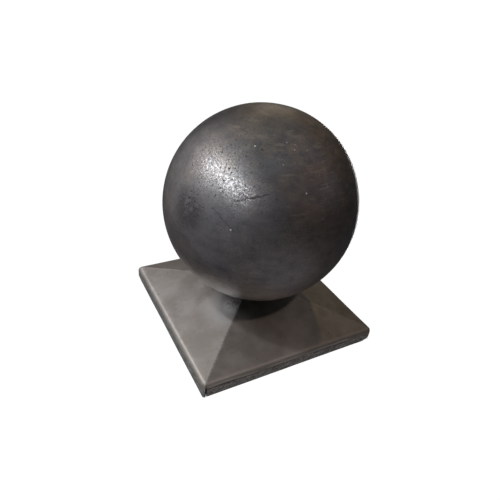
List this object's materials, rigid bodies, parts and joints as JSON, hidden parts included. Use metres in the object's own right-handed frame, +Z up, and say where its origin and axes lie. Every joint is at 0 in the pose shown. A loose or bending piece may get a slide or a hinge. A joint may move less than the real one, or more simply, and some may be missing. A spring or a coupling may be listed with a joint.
{
  "type": "post cap",
  "caption": "Square steel post cap: a dark steel ball welded on top of a low sheet-steel pyramid whose down-turned lips fit over the top of a square post.",
  "frame": {"origin": "middle of the square rim's underside, where the lips' lower edges lie in one plane", "axes": "+Z up through the middle of the ball; -Y out of the front lip, and the front corner with the open joint at -X -Y"},
  "size_m": [0.104, 0.104, 0.1189],
  "materials": {
    "ball_steel": "bare dark mill-scale steel, satin, finely pitted and scuffed",
    "cap_steel": "bare warm grey sheet steel, satin, mottled, with a burnished bend and scuffed edges"
  },
  "bodies": {
    "root": {"ball": "ball_steel", "cap": "cap_steel"}
  },
  "joints": []
}
